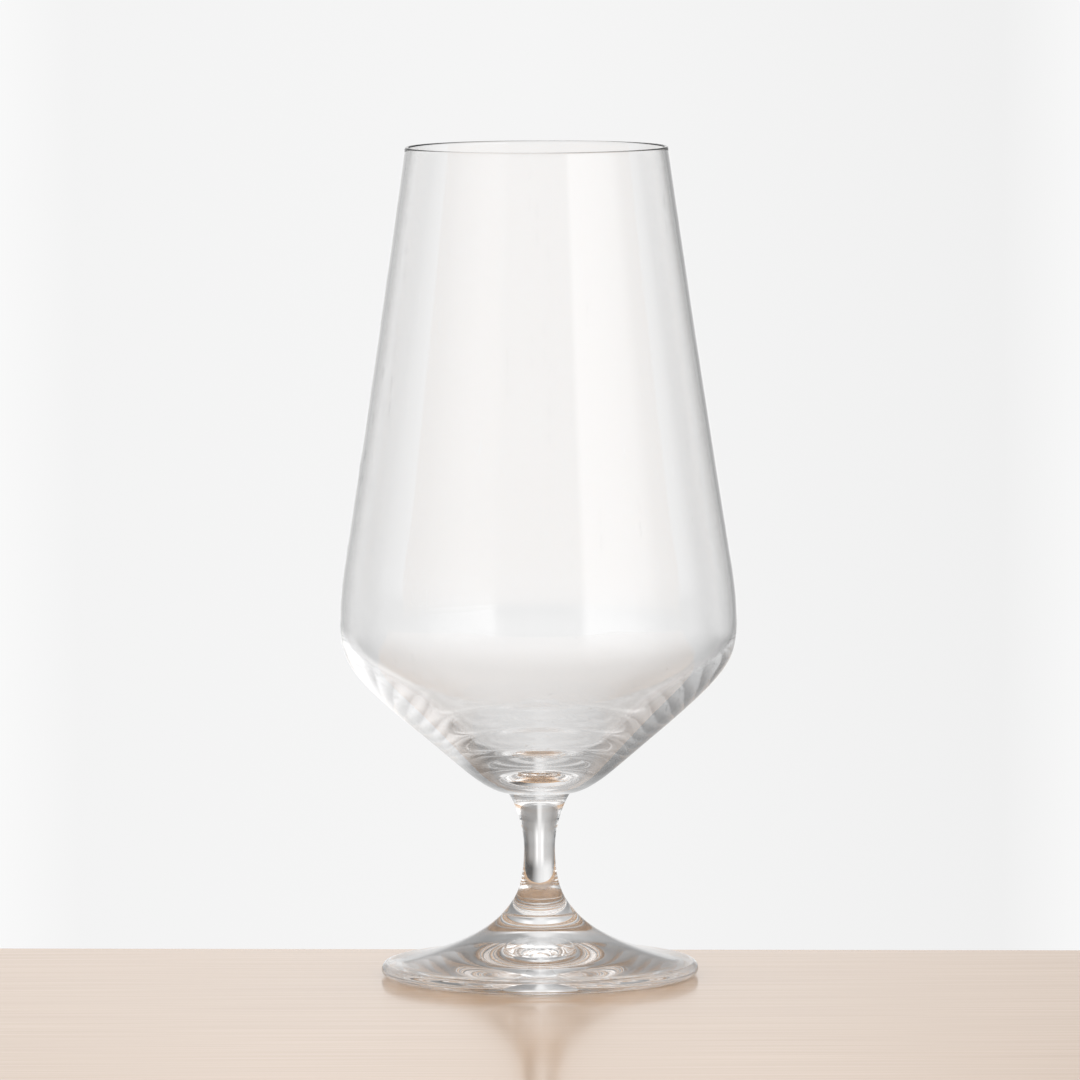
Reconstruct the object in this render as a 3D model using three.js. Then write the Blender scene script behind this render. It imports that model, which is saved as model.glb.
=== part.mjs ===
// Stemmed beer glass in clear glass: a thin conical bowl on a solid cone, a short drawn stem and a pressed foot.
// The three pieces are formed one after the other and fused on flat rings, so each is a solid of its own here.
// Millimetres, +Z up, with the origin at the centre of the ring on which the foot stands.

import * as THREE from 'three';

// Foot
const FOOT_DIAMETER = 72.6;
const FOOT_HEIGHT = 14.5;
const FOOT_EDGE_THICKNESS = 3.2;
const FOOT_WIDEST_HEIGHT = 1.5;
const FOOT_EDGE_ROUND_ABOVE = 1.3;
const FOOT_EDGE_ROUND_BELOW = 2.1;
const FOOT_RING_WIDTH = 3.2;
const FOOT_HOLLOW_DEPTH = 5.4;
const FOOT_HOLLOW_CROWN_REACH = 8;
const FOOT_HOLLOW_RISE_DEGREES = 6;
const FOOT_HOLLOW_RISE_REACH = 14;
const FOOT_TOP_RISE_DEGREES = 6;
const FOOT_TOP_REACH = 11.5;
const BOSS_REACH = 6.2;

// Stem
const STEM_LENGTH = 27.7;
const STEM_FOOT_DIAMETER = 16.7;
const STEM_WAIST_DIAMETER = 7.1;
const STEM_WAIST_HEIGHT = 14.9;
const STEM_TOP_DIAMETER = 14.8;
const STEM_FOOT_FLARE_DEGREES = 50.5;
const STEM_TOP_FLARE_DEGREES = 35;
const STEM_FOOT_REACH = 3.1;
const STEM_TOP_REACH = 1.4;
const LOWER_WAIST_STRAIGHTNESS = 0.67;
const UPPER_WAIST_STRAIGHTNESS = 0.44;

// Bowl, with heights counted from its flat underside
const BOWL_HEIGHT = 147.8;
const RIM_DIAMETER = 60.1;
const BELLY_DIAMETER = 90.8;
const BELLY_HEIGHT = 40.1;
const SHOULDER_HEIGHT = 52.8;
const SHOULDER_DROP = 1.2;
const WALL_HOLLOW = 0.2;
const CONE_DEGREES = 40.3;
const CONE_START_DIAMETER = 35;
const CONE_START_HEIGHT = 5.5;
const CONE_LENGTH = 11.65;
const BELLY_FULLNESS = 0.91;
const SHOULDER_FULLNESS = 0.33;
const BUTTON_FULLNESS = 0.65;
const SIDE_WALL = 0.85;
const CAVITY_CONE_DEGREES = 35.7;
const CAVITY_CONE_FOOT_DIAMETER = 52.3;
const CAVITY_CONE_FOOT_HEIGHT = 17.25;
const CAVITY_BELLY_FULLNESS = 0.89;
const CAVITY_FLOOR_HEIGHT = 6.3;
const CAVITY_FLOOR_CONE_REACH = 13.1;
const CAVITY_FLOOR_REACH = 10.6;

// Facets
const STEPS_ROUND = 56;
const STEPS = {
  wall: 6, shoulder: 4, belly: 10, floor: 10, button: 5, edge: 4, rim: 6, flare: 9, footTop: 11, hollow: 9,
};

const GLASS = { color: 0xf4f7f6, roughness: 0.02, metalness: 0, transparent: true, opacity: 0.35 };

const radians = THREE.MathUtils.degToRad;
const point = (radius, height) => new THREE.Vector2(radius, height);
const heading = (degrees) => point(Math.cos(radians(degrees)), Math.sin(radians(degrees)));
const from = (start, direction, distance) => start.clone().addScaledVector(direction, distance);
const cubic = (start, afterStart, beforeEnd, end) => new THREE.CubicBezierCurve(start, afterStart, beforeEnd, end);

// Where a line from a point crosses a given radius or a given height.
function crossRadius(start, direction, radius) {
  return from(start, direction, (radius - start.x) / direction.x);
}

function crossHeight(start, direction, height) {
  return from(start, direction, (height - start.y) / direction.y);
}

// A corner that leaves one end along its tangent, and turns into the other's within the corner point between them.
function roundedCorner(start, corner, end, fullness) {
  return cubic(start, start.clone().lerp(corner, fullness), end.clone().lerp(corner, fullness), end);
}

// Points of a chain of curves, without the repeats where one ends and the next begins.
function chain(...runs) {
  return runs.flatMap(([curve, steps], index) => curve.getPoints(steps).slice(index === 0 ? 0 : 1));
}

function quarterEllipse(centre, reachAcross, reachUp, startQuarter) {
  const start = startQuarter * Math.PI / 2;
  return new THREE.EllipseCurve(centre.x, centre.y, reachAcross, reachUp, start, start + Math.PI / 2);
}

// A solid of revolution about the vertical axis, from an outline that starts and ends on it.
function turned(name, outline, baseHeight) {
  const geometry = new THREE.LatheGeometry(outline, STEPS_ROUND).rotateX(Math.PI / 2);
  const mesh = new THREE.Mesh(geometry, new THREE.MeshStandardMaterial(GLASS));
  mesh.name = name;
  mesh.position.z = baseHeight;
  return mesh;
}

// The foot stands on a narrow flat ring. Inside the ring the underside rises gently, then steeper to a crown under
// the stem; outside it the edge rounds up.
function footOutline() {
  const widest = FOOT_DIAMETER / 2;
  const ringOutside = point(widest - FOOT_EDGE_ROUND_BELOW, 0);
  const ringInside = point(ringOutside.x - FOOT_RING_WIDTH, 0);
  const hollow = cubic(
    point(0, FOOT_HOLLOW_DEPTH),
    point(FOOT_HOLLOW_CROWN_REACH, FOOT_HOLLOW_DEPTH),
    from(ringInside, heading(180 - FOOT_HOLLOW_RISE_DEGREES), FOOT_HOLLOW_RISE_REACH),
    ringInside);
  const edgeBelow = quarterEllipse(
    point(ringOutside.x, FOOT_WIDEST_HEIGHT), FOOT_EDGE_ROUND_BELOW, FOOT_WIDEST_HEIGHT, -1);
  const edgeAbove = quarterEllipse(
    point(widest - FOOT_EDGE_ROUND_ABOVE, FOOT_WIDEST_HEIGHT),
    FOOT_EDGE_ROUND_ABOVE, FOOT_EDGE_THICKNESS - FOOT_WIDEST_HEIGHT, 0);
  const edgeTop = point(widest - FOOT_EDGE_ROUND_ABOVE, FOOT_EDGE_THICKNESS);
  const joint = point(STEM_FOOT_DIAMETER / 2, FOOT_HEIGHT);
  const top = cubic(
    edgeTop,
    from(edgeTop, heading(180 - FOOT_TOP_RISE_DEGREES), FOOT_TOP_REACH),
    from(joint, heading(-STEM_FOOT_FLARE_DEGREES), BOSS_REACH),
    joint);
  return [
    ...chain(
      [hollow, STEPS.hollow],
      [new THREE.LineCurve(ringInside, ringOutside), 1],
      [edgeBelow, STEPS.edge],
      [edgeAbove, STEPS.edge],
      [top, STEPS.footTop]),
    point(0, FOOT_HEIGHT),
  ];
}

// The stem draws in from the foot to a waist and opens again under the bowl.
function stemOutline() {
  const joint = point(STEM_FOOT_DIAMETER / 2, 0);
  const waist = point(STEM_WAIST_DIAMETER / 2, STEM_WAIST_HEIGHT);
  const top = point(STEM_TOP_DIAMETER / 2, STEM_LENGTH);
  const lowerHandle = STEM_WAIST_HEIGHT * LOWER_WAIST_STRAIGHTNESS;
  const upperHandle = (STEM_LENGTH - STEM_WAIST_HEIGHT) * UPPER_WAIST_STRAIGHTNESS;
  const lowerFlare = cubic(
    joint,
    from(joint, heading(180 - STEM_FOOT_FLARE_DEGREES), STEM_FOOT_REACH),
    point(waist.x, waist.y - lowerHandle),
    waist);
  const upperFlare = cubic(
    waist,
    point(waist.x, waist.y + upperHandle),
    from(top, heading(180 + STEM_TOP_FLARE_DEGREES), STEM_TOP_REACH),
    top);
  return [point(0, 0), ...chain([lowerFlare, STEPS.flare], [upperFlare, STEPS.flare]), point(0, STEM_LENGTH)];
}

// The inner face beside a stretch of the wall, from its upper end to its lower end.
function innerFace(curve, steps) {
  return Array.from({ length: steps + 1 }, (_, step) => {
    const share = 1 - step / steps;
    const along = curve.getTangent(share);
    return from(curve.getPoint(share), point(-along.y, along.x), SIDE_WALL);
  });
}

// The outside of the bowl is a rounded button, a straight cone, the belly, the shoulder and a long wall to the rim.
// The wall keeps one thickness from the rim down to the belly. Below it the cavity has a flatter cone of its own,
// so the glass grows heavier towards the floor.
function bowlOutline() {
  const coneHeading = heading(CONE_DEGREES);
  const belly = point(BELLY_DIAMETER / 2, BELLY_HEIGHT);
  const shoulder = point(belly.x - SHOULDER_DROP, SHOULDER_HEIGHT);
  const wallEnd = point(RIM_DIAMETER / 2, BOWL_HEIGHT - SIDE_WALL / 2);
  const buttonEdge = point(STEM_TOP_DIAMETER / 2, 0);
  const coneStart = point(CONE_START_DIAMETER / 2, CONE_START_HEIGHT);
  const coneEnd = from(coneStart, coneHeading, CONE_LENGTH);

  // A cubic strays from its chord by three quarters of what its two middle points are set off by.
  const inward = point(-WALL_HOLLOW / 0.75, 0);
  const wallLow = shoulder.clone().lerp(wallEnd, 1 / 3).add(inward);
  const wallHigh = shoulder.clone().lerp(wallEnd, 2 / 3).add(inward);
  const wallHeading = wallLow.clone().sub(shoulder).normalize();
  const shoulderHandle = (SHOULDER_HEIGHT - BELLY_HEIGHT) * SHOULDER_FULLNESS;

  const button = roundedCorner(
    buttonEdge, crossHeight(coneStart, coneHeading, 0), coneStart, BUTTON_FULLNESS);
  const bellyTurn = roundedCorner(
    coneEnd, crossRadius(coneEnd, coneHeading, belly.x), belly, BELLY_FULLNESS);
  const shoulderTurn = cubic(
    belly,
    point(belly.x, belly.y + shoulderHandle),
    from(shoulder, wallHeading, -shoulderHandle),
    shoulder);
  const wall = cubic(shoulder, wallLow, wallHigh, wallEnd);
  const rim = new THREE.EllipseCurve(
    wallEnd.x - SIDE_WALL / 2, wallEnd.y, SIDE_WALL / 2, SIDE_WALL / 2, 0, Math.PI);

  const cavityBelly = point(belly.x - SIDE_WALL, BELLY_HEIGHT);
  const cavityHeading = heading(CAVITY_CONE_DEGREES);
  const cavityConeFoot = point(CAVITY_CONE_FOOT_DIAMETER / 2, CAVITY_CONE_FOOT_HEIGHT);
  const cavityTurn = roundedCorner(
    cavityBelly,
    crossRadius(cavityConeFoot, cavityHeading, cavityBelly.x),
    cavityConeFoot,
    CAVITY_BELLY_FULLNESS);
  const cavityFloor = cubic(
    cavityConeFoot,
    from(cavityConeFoot, cavityHeading, -CAVITY_FLOOR_CONE_REACH),
    point(CAVITY_FLOOR_REACH, CAVITY_FLOOR_HEIGHT),
    point(0, CAVITY_FLOOR_HEIGHT));

  return [
    point(0, 0),
    ...chain(
      [button, STEPS.button],
      [new THREE.LineCurve(coneStart, coneEnd), 1],
      [bellyTurn, STEPS.belly],
      [shoulderTurn, STEPS.shoulder],
      [wall, STEPS.wall],
      [rim, STEPS.rim]),
    ...innerFace(wall, STEPS.wall).slice(1),
    ...innerFace(shoulderTurn, STEPS.shoulder).slice(1),
    ...cavityTurn.getPoints(STEPS.belly).slice(1),
    ...cavityFloor.getPoints(STEPS.floor).slice(1),
  ];
}

const glass = new THREE.Group();
glass.add(
  turned('foot', footOutline(), 0),
  turned('stem', stemOutline(), FOOT_HEIGHT),
  turned('bowl', bowlOutline(), FOOT_HEIGHT + STEM_LENGTH));

export default glass;
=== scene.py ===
"""Looks of a stemmed beer glass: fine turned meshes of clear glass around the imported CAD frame."""

import math

import bmesh
import bpy
from mathutils import Matrix, Vector


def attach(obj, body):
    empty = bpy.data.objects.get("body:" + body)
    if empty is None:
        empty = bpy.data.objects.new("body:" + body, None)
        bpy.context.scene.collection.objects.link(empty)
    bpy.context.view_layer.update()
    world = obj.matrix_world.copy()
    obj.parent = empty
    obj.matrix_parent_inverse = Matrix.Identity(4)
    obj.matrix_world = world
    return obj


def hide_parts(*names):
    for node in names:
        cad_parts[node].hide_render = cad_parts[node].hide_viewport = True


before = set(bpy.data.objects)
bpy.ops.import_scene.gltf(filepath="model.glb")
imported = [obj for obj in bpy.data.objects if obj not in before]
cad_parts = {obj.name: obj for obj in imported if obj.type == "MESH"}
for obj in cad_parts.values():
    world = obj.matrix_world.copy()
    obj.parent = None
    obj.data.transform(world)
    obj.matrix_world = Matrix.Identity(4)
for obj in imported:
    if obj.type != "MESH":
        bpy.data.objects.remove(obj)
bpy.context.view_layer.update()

MM = 0.001

# Foot, in millimetres. These are the same driving dimensions as the solids have.
FOOT_DIAMETER = 72.6
FOOT_HEIGHT = 14.5
FOOT_EDGE_THICKNESS = 3.2
FOOT_WIDEST_HEIGHT = 1.5
FOOT_EDGE_ROUND_ABOVE = 1.3
FOOT_EDGE_ROUND_BELOW = 2.1
FOOT_RING_WIDTH = 3.2
FOOT_HOLLOW_DEPTH = 5.4
FOOT_HOLLOW_CROWN_REACH = 8
FOOT_HOLLOW_RISE_DEGREES = 6
FOOT_HOLLOW_RISE_REACH = 14
FOOT_TOP_RISE_DEGREES = 6
FOOT_TOP_REACH = 11.5
BOSS_REACH = 6.2

# Stem, with heights above the foot
STEM_LENGTH = 27.7
STEM_FOOT_DIAMETER = 16.7
STEM_WAIST_DIAMETER = 7.1
STEM_WAIST_HEIGHT = 14.9
STEM_TOP_DIAMETER = 14.8
STEM_FOOT_FLARE_DEGREES = 50.5
STEM_TOP_FLARE_DEGREES = 35
STEM_FOOT_REACH = 3.1
STEM_TOP_REACH = 1.4
LOWER_WAIST_STRAIGHTNESS = 0.67
UPPER_WAIST_STRAIGHTNESS = 0.44

# Bowl, with heights above the stem
BOWL_HEIGHT = 147.8
RIM_DIAMETER = 60.1
BELLY_DIAMETER = 90.8
BELLY_HEIGHT = 40.1
SHOULDER_HEIGHT = 52.8
SHOULDER_DROP = 1.2
WALL_HOLLOW = 0.2
CONE_DEGREES = 40.3
CONE_START_DIAMETER = 35
CONE_START_HEIGHT = 5.5
CONE_LENGTH = 11.65
BELLY_FULLNESS = 0.91
SHOULDER_FULLNESS = 0.33
BUTTON_FULLNESS = 0.65
SIDE_WALL = 0.85
CAVITY_CONE_DEGREES = 35.7
CAVITY_CONE_FOOT_DIAMETER = 52.3
CAVITY_CONE_FOOT_HEIGHT = 17.25
CAVITY_BELLY_FULLNESS = 0.89
CAVITY_FLOOR_HEIGHT = 6.3
CAVITY_FLOOR_CONE_REACH = 13.1
CAVITY_FLOOR_REACH = 10.6

# Fineness of the meshes
STEPS_ROUND = 240
CURVE_STEP = 0.7
FEWEST_CURVE_STEPS = 8
FOOT_EDGE_STEPS = 12
RIM_STEPS = 8
ON_AXIS = 1e-6

# Glass: clear, with a faint ripple and sparse hair scratches along its height
GLASS_IOR = 1.52
RIPPLE_SCALE = 90
RIPPLE_DETAIL = 2
RIPPLE_HEIGHT = 0.008 * MM
SCRATCH_STRETCH = (900, 900, 25)
SCRATCH_TILT = (0.35, 0.2, 0)
SCRATCH_STARTS = 0.78
SCRATCH_FULL = 0.86
SCRATCH_ROUGHNESS = 0.25

# Board: pale grained wood under a satin lacquer, in metres
BOARD_TOP = -0.03 * MM
BOARD_BACK = 44 * MM
BOARD_FRONT = -0.9
BOARD_HALF_WIDTH = 0.9
BOARD_EDGE_DEGREES = -2.6
GRAIN_STRETCH = (12, 900, 1)
GRAIN_DETAIL = 5
GRAIN_DARK_AT = 0.35
GRAIN_DARK = (0.80, 0.48, 0.24, 1)
GRAIN_LIGHT_AT = 0.65
GRAIN_LIGHT = (0.94, 0.60, 0.35, 1)
GRAIN_RELIEF = 0.01 * MM
BOARD_IOR = 1.55
BOARD_ROUGHNESS = 0.3
LACQUER_WEIGHT = 0.95
LACQUER_ROUGHNESS = 0.13

# Studio: radiance by compass direction, in degrees off the view direction (+Y), clockwise seen from above.
# It has four bands: below the horizon, at the height of the glass, overhead, and round the zenith.
GROUND_LEVELS = (
    (-180, 1.00),
    (-158, 1.00),
    (-155, 1.40),
    (-96, 1.35),
    (-90, 0.95),
    (-72, 0.60),
    (-58, 0.25),
    (-45, 0.40),
    (-34, 0.80),
    (-19, 0.90),
    (-4, 0.84),
    (3, 0.70),
    (12, 0.35),
    (20, 0.08),
    (50, 0.08),
    (60, 0.40),
    (85, 0.90),
    (100, 1.50),
    (150, 1.60),
    (155, 1.00),
    (180, 1.00))
HORIZON_LEVELS = (
    (-180, 0.40),
    (-162, 0.40),
    (-152, 0.95),
    (-135, 0.65),
    (-118, 0.32),
    (-88, 0.28),
    (-58, 0.28),
    (-30, 0.52),
    (-13, 0.60),
    (-8, 1.05),
    (-5, 1.15),
    (-3.3, 0.90),
    (0, 0.915),
    (3, 0.87),
    (4.5, 1.10),
    (7, 1.06),
    (11, 0.62),
    (15, 0.42),
    (26, 0.36),
    (40, 0.15),
    (62, 0.14),
    (72, 0.35),
    (80, 0.52),
    (100, 0.55),
    (111, 0.95),
    (125, 1.50),
    (151, 1.75),
    (156, 0.45),
    (180, 0.40))
OVERHEAD_LEVELS = (
    (-180, 1.00),
    (-135, 1.05),
    (-105, 0.60),
    (-72, 0.40),
    (-56, 0.30),
    (-30, 0.30),
    (-18, 0.45),
    (-6, 0.60),
    (-2, 0.90),
    (2, 0.85),
    (5, 0.35),
    (30, 0.25),
    (62, 0.28),
    (74, 0.55),
    (82, 0.85),
    (102, 0.95),
    (112, 1.55),
    (151, 1.85),
    (155, 1.05),
    (180, 1.00))
ZENITH_LEVELS = (
    (-180, 1.20),
    (-100, 1.20),
    (-60, 0.65),
    (60, 0.65),
    (100, 1.20),
    (180, 1.20))
HORIZON_BLEND_DEGREES = (-16, -9)
OVERHEAD_BLEND_DEGREES = (0, 14)
ZENITH_BLEND_DEGREES = (30, 50)
LEVEL_UNIT = 3
PLAIN_LEVEL = 0.85

# Camera, in metres and radians
FRAME_PIXELS = 1080
FOCAL_PIXELS = 9450
SENSOR_WIDTH = 36
CAMERA_DISTANCE = 2.150
CAMERA_HEIGHT = 0.2926
CAMERA_SIDE = 0.00042
CAMERA_PITCH = 0.0893
CAMERA_ROLL = -0.0043
CLIP_END = 50
LIGHT_BOUNCES = 96


# Outlines, as points of radius and height in millimetres

def point(radius, height):
    return Vector((radius, height))


def heading(degrees):
    return point(math.cos(math.radians(degrees)), math.sin(math.radians(degrees)))


def cross_radius(start, direction, radius):
    return start + direction * ((radius - start.x) / direction.x)


def cross_height(start, direction, height):
    return start + direction * ((height - start.y) / direction.y)


class Cubic:
    """A cubic curve with its points and its tangents."""

    def __init__(self, start, after_start, before_end, end):
        self.handles = (start, after_start, before_end, end)

    def at(self, share):
        a, b, c, d = self.handles
        rest = 1 - share
        return a * rest ** 3 + b * 3 * rest ** 2 * share + c * 3 * rest * share ** 2 + d * share ** 3

    def along(self, share):
        a, b, c, d = self.handles
        rest = 1 - share
        return ((b - a) * rest ** 2 + (c - b) * 2 * rest * share + (d - c) * share ** 2).normalized()

    def steps(self):
        a, b, c, d = self.handles
        length = (b - a).length + (c - b).length + (d - c).length
        return max(FEWEST_CURVE_STEPS, math.ceil(length / CURVE_STEP))

    def points(self):
        return [self.at(step / self.steps()) for step in range(self.steps() + 1)]


def straight(start, end):
    steps = max(1, math.ceil((end - start).length / CURVE_STEP))
    return [start.lerp(end, step / steps) for step in range(steps + 1)]


def rounded_corner(start, corner, end, fullness):
    return Cubic(start, start.lerp(corner, fullness), end.lerp(corner, fullness), end)


def quarter_ellipse(centre, reach_across, reach_up, start_quarter, steps):
    angles = [(start_quarter + step / steps) * math.pi / 2 for step in range(steps + 1)]
    return [centre + point(reach_across * math.cos(a), reach_up * math.sin(a)) for a in angles]


def inner_face(curve):
    """The points one wall inside a curve, from its end back to its start."""
    points = []
    for step in range(curve.steps() + 1):
        share = 1 - step / curve.steps()
        outside = curve.at(share)
        along = curve.along(share)
        points.append(outside + point(-along.y, along.x) * SIDE_WALL)
    return points


def chain(*runs):
    """The points of curves that follow one another, without the repeats where they meet."""
    return [p for index, run in enumerate(runs) for p in run[0 if index == 0 else 1:]]


def foot_outline():
    widest = FOOT_DIAMETER / 2
    ring_outside = point(widest - FOOT_EDGE_ROUND_BELOW, 0)
    ring_inside = point(ring_outside.x - FOOT_RING_WIDTH, 0)
    edge_top = point(widest - FOOT_EDGE_ROUND_ABOVE, FOOT_EDGE_THICKNESS)
    joint = point(STEM_FOOT_DIAMETER / 2, FOOT_HEIGHT)
    hollow = Cubic(
        point(0, FOOT_HOLLOW_DEPTH),
        point(FOOT_HOLLOW_CROWN_REACH, FOOT_HOLLOW_DEPTH),
        ring_inside + heading(180 - FOOT_HOLLOW_RISE_DEGREES) * FOOT_HOLLOW_RISE_REACH,
        ring_inside)
    edge_below = quarter_ellipse(
        point(ring_outside.x, FOOT_WIDEST_HEIGHT),
        FOOT_EDGE_ROUND_BELOW,
        FOOT_WIDEST_HEIGHT,
        -1,
        FOOT_EDGE_STEPS)
    edge_above = quarter_ellipse(
        point(edge_top.x, FOOT_WIDEST_HEIGHT),
        FOOT_EDGE_ROUND_ABOVE,
        FOOT_EDGE_THICKNESS - FOOT_WIDEST_HEIGHT,
        0,
        FOOT_EDGE_STEPS)
    top = Cubic(
        edge_top,
        edge_top + heading(180 - FOOT_TOP_RISE_DEGREES) * FOOT_TOP_REACH,
        joint + heading(-STEM_FOOT_FLARE_DEGREES) * BOSS_REACH,
        joint)
    return chain(hollow.points(), straight(ring_inside, ring_outside), edge_below, edge_above, top.points())


def stem_outline():
    joint = point(STEM_FOOT_DIAMETER / 2, 0)
    waist = point(STEM_WAIST_DIAMETER / 2, STEM_WAIST_HEIGHT)
    top = point(STEM_TOP_DIAMETER / 2, STEM_LENGTH)
    lower_flare = Cubic(
        joint,
        joint + heading(180 - STEM_FOOT_FLARE_DEGREES) * STEM_FOOT_REACH,
        point(waist.x, waist.y - STEM_WAIST_HEIGHT * LOWER_WAIST_STRAIGHTNESS),
        waist)
    upper_flare = Cubic(
        waist,
        point(waist.x, waist.y + (STEM_LENGTH - STEM_WAIST_HEIGHT) * UPPER_WAIST_STRAIGHTNESS),
        top + heading(180 + STEM_TOP_FLARE_DEGREES) * STEM_TOP_REACH,
        top)
    return chain(lower_flare.points(), upper_flare.points())


def bowl_outline():
    button_edge = point(STEM_TOP_DIAMETER / 2, 0)
    cone_heading = heading(CONE_DEGREES)
    cone_start = point(CONE_START_DIAMETER / 2, CONE_START_HEIGHT)
    cone_end = cone_start + cone_heading * CONE_LENGTH
    belly = point(BELLY_DIAMETER / 2, BELLY_HEIGHT)
    shoulder = point(belly.x - SHOULDER_DROP, SHOULDER_HEIGHT)
    wall_end = point(RIM_DIAMETER / 2, BOWL_HEIGHT - SIDE_WALL / 2)

    # The middle of a cubic moves by three quarters of what both its handles move.
    inward = point(-WALL_HOLLOW / 0.75, 0)
    wall_low = shoulder.lerp(wall_end, 1 / 3) + inward
    wall_high = shoulder.lerp(wall_end, 2 / 3) + inward
    wall_heading = (wall_low - shoulder).normalized()
    shoulder_handle = (SHOULDER_HEIGHT - BELLY_HEIGHT) * SHOULDER_FULLNESS

    button = rounded_corner(
        button_edge, cross_height(cone_start, cone_heading, 0), cone_start, BUTTON_FULLNESS)
    belly_turn = rounded_corner(
        cone_end, cross_radius(cone_end, cone_heading, belly.x), belly, BELLY_FULLNESS)
    shoulder_turn = Cubic(
        belly,
        point(belly.x, belly.y + shoulder_handle),
        shoulder - wall_heading * shoulder_handle,
        shoulder)
    wall = Cubic(shoulder, wall_low, wall_high, wall_end)
    rim_centre = point(wall_end.x - SIDE_WALL / 2, wall_end.y)
    rim = chain(
        quarter_ellipse(rim_centre, SIDE_WALL / 2, SIDE_WALL / 2, 0, RIM_STEPS),
        quarter_ellipse(rim_centre, SIDE_WALL / 2, SIDE_WALL / 2, 1, RIM_STEPS))

    cavity_heading = heading(CAVITY_CONE_DEGREES)
    cavity_belly_top = point(belly.x - SIDE_WALL, BELLY_HEIGHT)
    cavity_cone_foot = point(CAVITY_CONE_FOOT_DIAMETER / 2, CAVITY_CONE_FOOT_HEIGHT)
    cavity_belly = rounded_corner(
        cavity_belly_top,
        cross_radius(cavity_cone_foot, cavity_heading, cavity_belly_top.x),
        cavity_cone_foot,
        CAVITY_BELLY_FULLNESS)
    cavity_floor = Cubic(
        cavity_cone_foot,
        cavity_cone_foot - cavity_heading * CAVITY_FLOOR_CONE_REACH,
        point(CAVITY_FLOOR_REACH, CAVITY_FLOOR_HEIGHT),
        point(0, CAVITY_FLOOR_HEIGHT))
    return chain(
        button.points(),
        straight(cone_start, cone_end),
        belly_turn.points(),
        shoulder_turn.points(),
        wall.points(),
        rim,
        inner_face(wall),
        inner_face(shoulder_turn),
        cavity_belly.points(),
        cavity_floor.points())


# Turned meshes

def turned(name, outline, base_height, fused_below, fused_above, materials):
    """A closed solid of revolution. Its flat ends, fused to a neighbour, take the second material."""
    profile = list(outline)
    caps = []
    if fused_below:
        profile.insert(0, point(0, outline[0].y))
        caps.append(0)
    if fused_above:
        profile.append(point(0, outline[-1].y))
        caps.append(len(profile) - 2)

    mesh = bmesh.new()
    angles = [2 * math.pi * step / STEPS_ROUND for step in range(STEPS_ROUND)]
    rows = []
    for p in profile:
        height = (p.y + base_height) * MM
        if p.x < ON_AXIS:
            rows.append([mesh.verts.new((0, 0, height))])
        else:
            rows.append([
                mesh.verts.new((p.x * math.cos(a) * MM, p.x * math.sin(a) * MM, height)) for a in angles])
    for band, (low, high) in enumerate(zip(rows, rows[1:])):
        for step in range(STEPS_ROUND):
            after = (step + 1) % STEPS_ROUND
            corners = [
                low[step % len(low)],
                low[after % len(low)],
                high[after % len(high)],
                high[step % len(high)]]
            face = mesh.faces.new(list(dict.fromkeys(corners)))
            face.smooth = band not in caps
            face.material_index = 1 if band in caps else 0
    bmesh.ops.recalc_face_normals(mesh, faces=mesh.faces)

    data = bpy.data.meshes.new(name)
    mesh.to_mesh(data)
    mesh.free()
    for material in materials:
        data.materials.append(material)
    piece = bpy.data.objects.new(name, data)
    bpy.context.scene.collection.objects.link(piece)
    return piece


# Materials

def new_node(nodes, kind, settings):
    node = nodes.new(kind)
    for socket, value in settings.items():
        node.inputs[socket].default_value = value
    return node


def new_material(name, shader_kind, settings):
    material = bpy.data.materials.new(name)
    material.use_nodes = True
    nodes = material.node_tree.nodes
    links = material.node_tree.links
    nodes.clear()
    shader = new_node(nodes, shader_kind, settings)
    output = nodes.new("ShaderNodeOutputMaterial")
    links.new(shader.outputs["BSDF"], output.inputs["Surface"])
    return material, shader, nodes, links


def stretched_noise(nodes, links, coordinates, stretch, tilt, detail):
    mapping = new_node(nodes, "ShaderNodeMapping", {"Rotation": tilt, "Scale": stretch})
    noise = new_node(nodes, "ShaderNodeTexNoise", {"Scale": 1, "Detail": detail})
    links.new(coordinates.outputs["Object"], mapping.inputs["Vector"])
    links.new(mapping.outputs["Vector"], noise.inputs["Vector"])
    return noise


def raise_surface(nodes, links, noise, height, shader):
    bump = new_node(nodes, "ShaderNodeBump", {"Strength": 1, "Distance": height})
    links.new(noise.outputs["Fac"], bump.inputs["Height"])
    links.new(bump.outputs["Normal"], shader.inputs["Normal"])


def glass_material():
    material, shader, nodes, links = new_material("polished_glass", "ShaderNodeBsdfPrincipled", {
        "Base Color": (1, 1, 1, 1),
        "Transmission Weight": 1,
        "IOR": GLASS_IOR})
    coordinates = nodes.new("ShaderNodeTexCoord")
    ripple = new_node(nodes, "ShaderNodeTexNoise", {"Scale": RIPPLE_SCALE, "Detail": RIPPLE_DETAIL})
    links.new(coordinates.outputs["Object"], ripple.inputs["Vector"])
    raise_surface(nodes, links, ripple, RIPPLE_HEIGHT, shader)
    hairs = stretched_noise(nodes, links, coordinates, SCRATCH_STRETCH, SCRATCH_TILT, 0)
    scratches = new_node(nodes, "ShaderNodeMapRange", {
        "From Min": SCRATCH_STARTS,
        "From Max": SCRATCH_FULL,
        "To Min": 0,
        "To Max": SCRATCH_ROUGHNESS})
    links.new(hairs.outputs["Fac"], scratches.inputs["Value"])
    links.new(scratches.outputs["Result"], shader.inputs["Roughness"])
    return material


def seam_material():
    return new_material("fused_seam", "ShaderNodeBsdfTransparent", {})[0]


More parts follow.
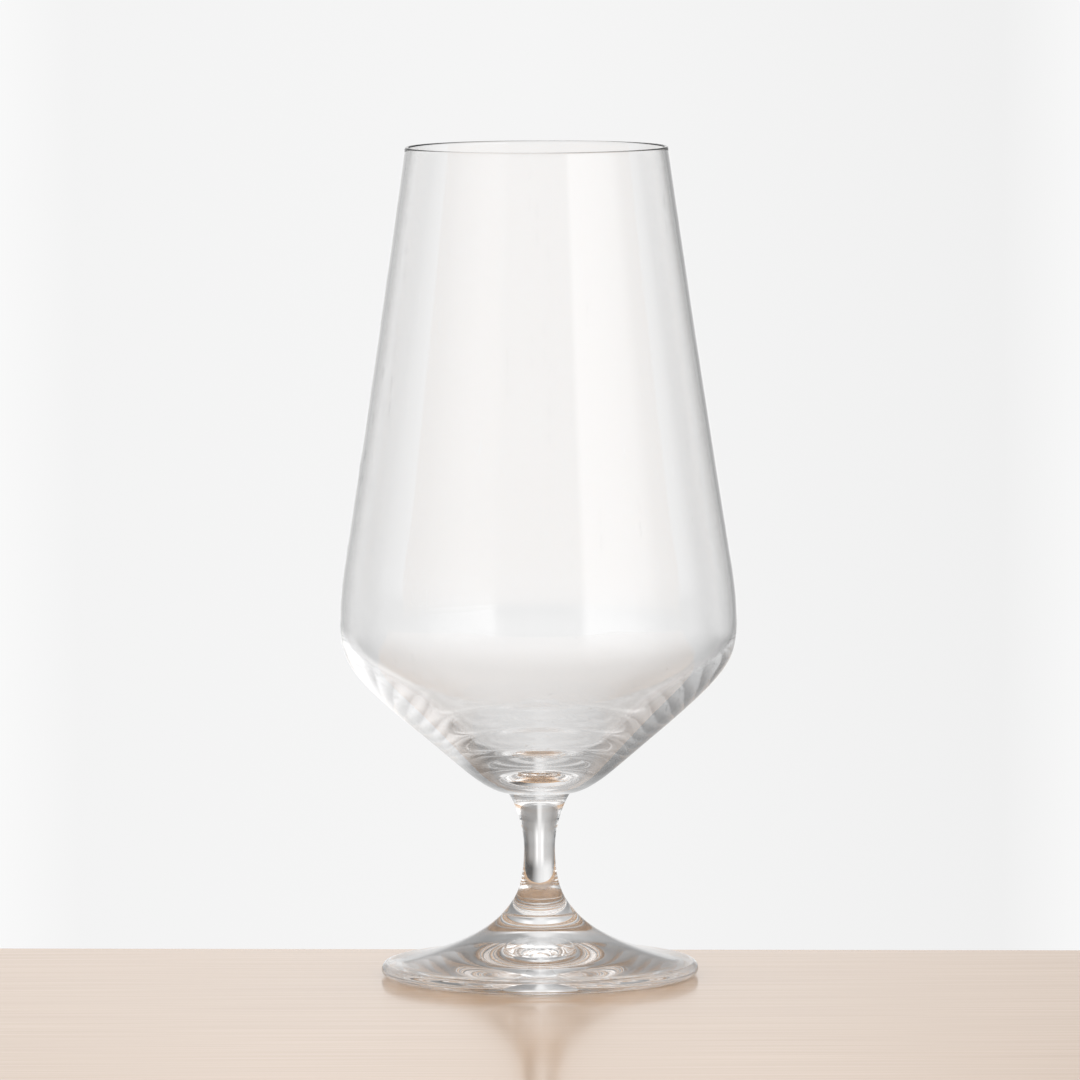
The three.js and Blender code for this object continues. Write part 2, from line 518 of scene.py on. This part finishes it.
def board_material():
    material, shader, nodes, links = new_material("pale_board", "ShaderNodeBsdfPrincipled", {
        "Roughness": BOARD_ROUGHNESS,
        "IOR": BOARD_IOR,
        "Coat Weight": LACQUER_WEIGHT,
        "Coat Roughness": LACQUER_ROUGHNESS})
    coordinates = nodes.new("ShaderNodeTexCoord")
    grain = stretched_noise(nodes, links, coordinates, GRAIN_STRETCH, (0, 0, 0), GRAIN_DETAIL)
    tone = nodes.new("ShaderNodeValToRGB")
    dark, light = tone.color_ramp.elements
    dark.position = GRAIN_DARK_AT
    dark.color = GRAIN_DARK
    light.position = GRAIN_LIGHT_AT
    light.color = GRAIN_LIGHT
    links.new(grain.outputs["Fac"], tone.inputs["Fac"])
    links.new(tone.outputs["Color"], shader.inputs["Base Color"])
    raise_surface(nodes, links, grain, GRAIN_RELIEF, shader)
    return material


# Studio

def math_node(nodes, links, operation, *values):
    node = nodes.new("ShaderNodeMath")
    node.operation = operation
    for socket, value in zip(node.inputs, values):
        if isinstance(value, (int, float)):
            socket.default_value = value
        else:
            links.new(value, socket)
    return node.outputs["Value"]


def compass_ramp(nodes, links, turn, stops):
    """The levels of one band, by compass direction. Places come first, since they put the stops in order."""
    node = nodes.new("ShaderNodeValToRGB")
    elements = node.color_ramp.elements
    while len(elements) < len(stops):
        elements.new(0.5)
    for element, (degrees, _) in zip(elements, stops):
        element.position = degrees / 360 + 0.5
    for element, (_, level) in zip(elements, stops):
        element.color = (level / LEVEL_UNIT, level / LEVEL_UNIT, level / LEVEL_UNIT, 1)
    links.new(turn, node.inputs["Fac"])
    return node.outputs["Color"]


def blend_upwards(nodes, links, height, below, above, blend_degrees):
    """One band over the one below it, blended between two angles of elevation."""
    lower_edge, upper_edge = blend_degrees
    rise = new_node(nodes, "ShaderNodeMapRange", {
        "From Min": math.sin(math.radians(lower_edge)),
        "From Max": math.sin(math.radians(upper_edge))})
    rise.interpolation_type = "SMOOTHSTEP"
    links.new(height, rise.inputs["Value"])
    mix = nodes.new("ShaderNodeMix")
    mix.data_type = "RGBA"
    links.new(rise.outputs["Result"], mix.inputs["Factor"])
    links.new(below, mix.inputs["A"])
    links.new(above, mix.inputs["B"])
    return mix.outputs["Result"]


def light_studio():
    """The banded studio for what is seen, mirrored or looked through, and a plain level for other light."""
    world = bpy.data.worlds.new("studio")
    bpy.context.scene.world = world
    world.use_nodes = True
    nodes = world.node_tree.nodes
    links = world.node_tree.links
    nodes.clear()

    direction = nodes.new("ShaderNodeTexCoord")
    parts = nodes.new("ShaderNodeSeparateXYZ")
    links.new(direction.outputs["Generated"], parts.inputs["Vector"])
    azimuth = math_node(nodes, links, "ARCTAN2", parts.outputs["X"], parts.outputs["Y"])
    turn = math_node(nodes, links, "MULTIPLY_ADD", azimuth, 1 / (2 * math.pi), 0.5)
    levels = compass_ramp(nodes, links, turn, GROUND_LEVELS)
    for stops, blend_degrees in (
            (HORIZON_LEVELS, HORIZON_BLEND_DEGREES),
            (OVERHEAD_LEVELS, OVERHEAD_BLEND_DEGREES),
            (ZENITH_LEVELS, ZENITH_BLEND_DEGREES)):
        band = compass_ramp(nodes, links, turn, stops)
        levels = blend_upwards(nodes, links, parts.outputs["Z"], levels, band, blend_degrees)

    studio = new_node(nodes, "ShaderNodeBackground", {"Strength": LEVEL_UNIT})
    links.new(levels, studio.inputs["Color"])
    plain = new_node(nodes, "ShaderNodeBackground", {"Color": (1, 1, 1, 1), "Strength": PLAIN_LEVEL})
    path = nodes.new("ShaderNodeLightPath")
    seen = math_node(nodes, links, "MAXIMUM", path.outputs["Is Camera Ray"], path.outputs["Is Glossy Ray"])
    seen = math_node(nodes, links, "MAXIMUM", seen, path.outputs["Is Transmission Ray"])
    blend = nodes.new("ShaderNodeMixShader")
    output = nodes.new("ShaderNodeOutputWorld")
    links.new(seen, blend.inputs["Fac"])
    links.new(plain.outputs["Background"], blend.inputs[1])
    links.new(studio.outputs["Background"], blend.inputs[2])
    links.new(blend.outputs["Shader"], output.inputs["Surface"])


# Pieces

glass = glass_material()
seam = seam_material()
for name, outline, base_height, fused_below, fused_above in (
        ("foot", foot_outline(), 0, False, True),
        ("stem", stem_outline(), FOOT_HEIGHT, True, True),
        ("bowl", bowl_outline(), FOOT_HEIGHT + STEM_LENGTH, True, False)):
    piece = turned("glass_" + name, outline, base_height, fused_below, fused_above, [glass, seam])
    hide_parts(name)
    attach(piece, "root")

# Board, whose back edge runs slightly askew behind the glass

edge_run = BOARD_HALF_WIDTH * math.tan(math.radians(BOARD_EDGE_DEGREES))
board_mesh = bpy.data.meshes.new("board")
board_mesh.from_pydata([
    (-BOARD_HALF_WIDTH, BOARD_FRONT, BOARD_TOP),
    (BOARD_HALF_WIDTH, BOARD_FRONT, BOARD_TOP),
    (BOARD_HALF_WIDTH, BOARD_BACK + edge_run, BOARD_TOP),
    (-BOARD_HALF_WIDTH, BOARD_BACK - edge_run, BOARD_TOP)], [], [(0, 1, 2, 3)])
board_mesh.materials.append(board_material())
board = bpy.data.objects.new("board", board_mesh)
bpy.context.scene.collection.objects.link(board)

light_studio()

# Camera

camera_data = bpy.data.cameras.new("camera")
camera_data.sensor_width = SENSOR_WIDTH
camera_data.lens = FOCAL_PIXELS / FRAME_PIXELS * SENSOR_WIDTH
camera_data.clip_end = CLIP_END
camera = bpy.data.objects.new("camera", camera_data)
camera.matrix_world = (
    Matrix.Translation((CAMERA_SIDE, -CAMERA_DISTANCE, CAMERA_HEIGHT))
    @ Matrix.Rotation(math.pi / 2 - CAMERA_PITCH, 4, "X")
    @ Matrix.Rotation(CAMERA_ROLL, 4, "Z"))
bpy.context.scene.collection.objects.link(camera)

scene = bpy.context.scene
scene.camera = camera
scene.view_settings.view_transform = "Standard"
scene.cycles.max_bounces = LIGHT_BOUNCES
scene.cycles.transmission_bounces = LIGHT_BOUNCES
scene.cycles.glossy_bounces = LIGHT_BOUNCES
